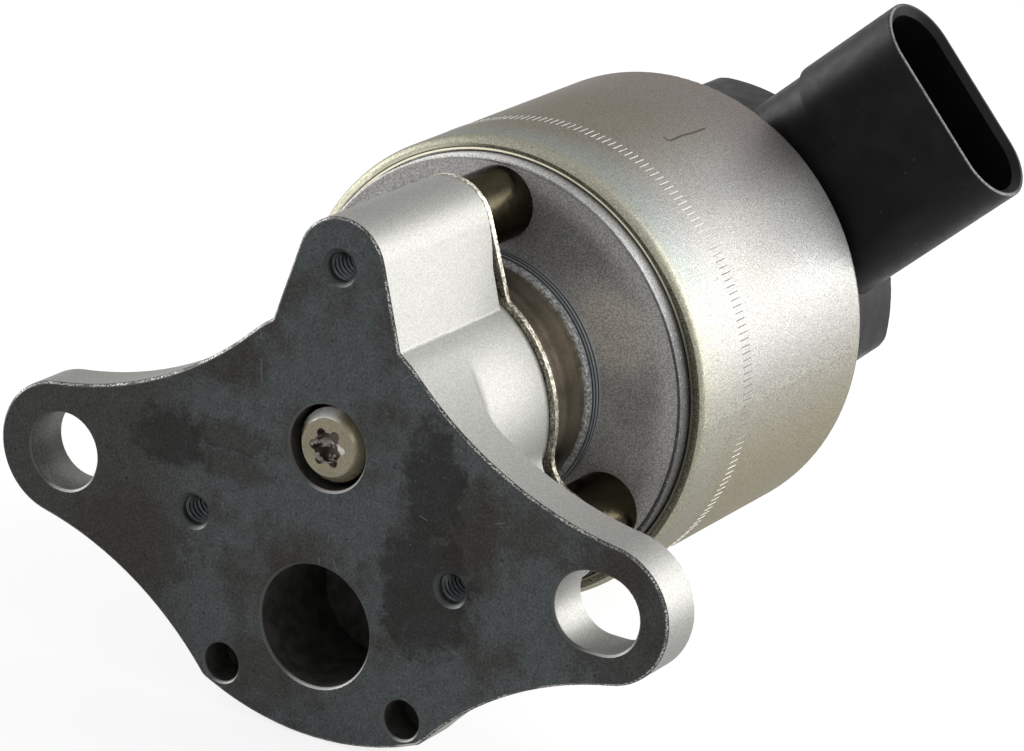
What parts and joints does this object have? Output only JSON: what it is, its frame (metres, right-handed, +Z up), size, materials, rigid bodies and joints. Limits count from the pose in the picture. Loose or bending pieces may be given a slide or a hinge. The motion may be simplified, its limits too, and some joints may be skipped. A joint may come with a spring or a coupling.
{
  "type": "egr valve",
  "caption": "Solenoid exhaust gas recirculation valve: ported base casting with slotted ear, spacer posts, round can, and a sensor cap with a side connector. Its pintle slides.",
  "frame": {"origin": "on the mounting face, midway between the round and the slotted mounting hole", "axes": "+Y along the valve axis, away from the mounting face and towards the solenoid and sensor cap; +Z up, from the outlet port towards the valve axis; +X towards the slotted ear"},
  "size_m": [0.0858, 0.086, 0.0729],
  "materials": {
    "coated_iron": "light grey coated casting with a dark machined face",
    "stainless": "turned stainless steel",
    "bronze": "sintered",
    "gasket": "matt graphite",
    "shield_steel": "bright thin sheet",
    "dark_steel": "black oxide",
    "neck_steel": "browned steel",
    "ring_steel": "turned",
    "flange_steel": "dark blasted steel",
    "plated_can": "satin zinc plating with a yellow tint",
    "nylon": "moulded",
    "copper_wire": "enamelled wire",
    "pole_iron": "machined soft iron",
    "seal_rubber": "matt",
    "black_plastic": "satin moulded",
    "tinned_brass": "tinned",
    "board": "laminate",
    "spring_steel": "drawn wire"
  },
  "bodies": {
    "housing": {"base_casting": "coated_iron", "valve_seat": "stainless", "bearing_carrier": "stainless", "stem_bearing": "bronze", "shield_gasket": "gasket", "heat_shield": "shield_steel", "spacer_post_1": "dark_steel", "spacer_post_2": "dark_steel", "spacer_post_3": "dark_steel", "post_screw_1": "dark_steel", "post_screw_2": "dark_steel", "post_screw_3": "dark_steel", "lower_pole": "neck_steel", "neck_ring": "ring_steel", "pole_flange": "flange_steel", "solenoid_can": "plated_can", "bobbin": "nylon", "coil_winding": "copper_wire", "guide_sleeve": "stainless", "upper_pole": "pole_iron", "cap_seal": "seal_rubber", "sensor_cap": "black_plastic", "sensor_cover": "black_plastic", "terminal_1": "tinned_brass", "terminal_2": "tinned_brass", "terminal_3": "tinned_brass", "terminal_4": "tinned_brass", "terminal_5": "tinned_brass", "track_board": "board", "sensor_bush": "nylon", "return_spring": "spring_steel", "sensor_spring": "spring_steel"},
    "pintle_assembly": {"pintle": "stainless", "armature": "pole_iron", "armature_nut": "spring_steel", "spring_seat": "spring_steel"},
    "sensor_follower": {"sensor_plunger": "nylon", "wiper": "tinned_brass"}
  },
  "joints": [
    {"name": "pintle_lift", "type": "slide", "parent": "housing", "child": "pintle_assembly", "axis": [0, 1, 0], "range_m": [0, 0.0045], "stiffness_N_per_m": 1600, "springref_m": -0.0075, "deforming": ["return_spring"]},
    {"name": "sensor_follow", "type": "slide", "parent": "housing", "child": "sensor_follower", "axis": [0, 1, 0], "range_m": [0, 0.0045], "stiffness_N_per_m": 100, "springref_m": -0.008, "deforming": ["sensor_spring"]}
  ],
  "couplings": [
    {"joint": "sensor_follow", "follows": "pintle_lift", "ratio": 1}
  ]
}
